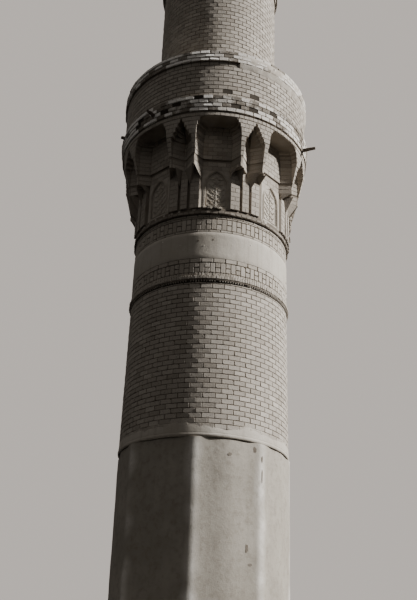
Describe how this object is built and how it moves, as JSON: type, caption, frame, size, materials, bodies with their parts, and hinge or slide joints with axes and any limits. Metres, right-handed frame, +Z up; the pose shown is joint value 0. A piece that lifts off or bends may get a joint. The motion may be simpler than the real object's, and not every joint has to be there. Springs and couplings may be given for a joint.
{
  "type": "minaret",
  "caption": "Round brick minaret on an octagonal plastered plinth, with patterned bands, a muqarnas cornice, a walled gallery and a slimmer domed upper shaft.",
  "frame": {"origin": "on the tower's axis, at ground level, on the underside of the ground floor", "axes": "+Z up along the tower, -Y towards the front that the picture shows, the entrance on the +Y side"},
  "size_m": [4.4455, 4.31, 19.85],
  "materials": {
    "brick": "weathered fired brick in lime mortar",
    "pale_brick": "lime-coated worn brick",
    "mud_plaster": "smooth mud and straw plaster",
    "lime_plaster": "aged lime plaster",
    "old_wood": "weathered poplar pole"
  },
  "bodies": {
    "root": {"plinth_wall_front": "mud_plaster", "plinth_wall_front_right": "mud_plaster", "plinth_wall_right": "mud_plaster", "plinth_wall_back_right": "mud_plaster", "plinth_wall_over_entrance": "mud_plaster", "entrance_jamb_east": "mud_plaster", "entrance_jamb_west": "mud_plaster", "plinth_wall_back_left": "mud_plaster", "plinth_wall_left": "mud_plaster", "plinth_wall_front_left": "mud_plaster", "ground_floor": "brick", "shaft_wall_front": "brick", "shaft_wall_right": "brick", "shaft_wall_back": "brick", "shaft_wall_left": "brick", "lower_moulding": "brick", "upper_moulding": "brick", "lower_muqarnas_front": "brick", "lower_muqarnas_right": "brick", "lower_muqarnas_back": "brick", "lower_muqarnas_left": "brick", "upper_muqarnas_front": "brick", "upper_muqarnas_right": "brick", "upper_muqarnas_back": "brick", "upper_muqarnas_left": "brick", "gallery_floor": "brick", "parapet_front": "brick", "parapet_right": "brick", "parapet_back": "brick", "parapet_left": "brick", "upper_shaft_front": "brick", "upper_shaft_right": "brick", "upper_shaft_left": "brick", "upper_shaft_over_door": "brick", "gallery_door_jamb_east": "brick", "gallery_door_jamb_west": "brick", "top_cornice": "brick", "gallery_fascia": "pale_brick", "parapet_coping": "pale_brick", "shaft_foot_ledge": "lime_plaster", "plaster_band": "lime_plaster", "dome": "lime_plaster", "pole_stub_east": "old_wood", "pole_stub_south_west": "old_wood", "pole_stub_west": "old_wood"}
  },
  "joints": []
}
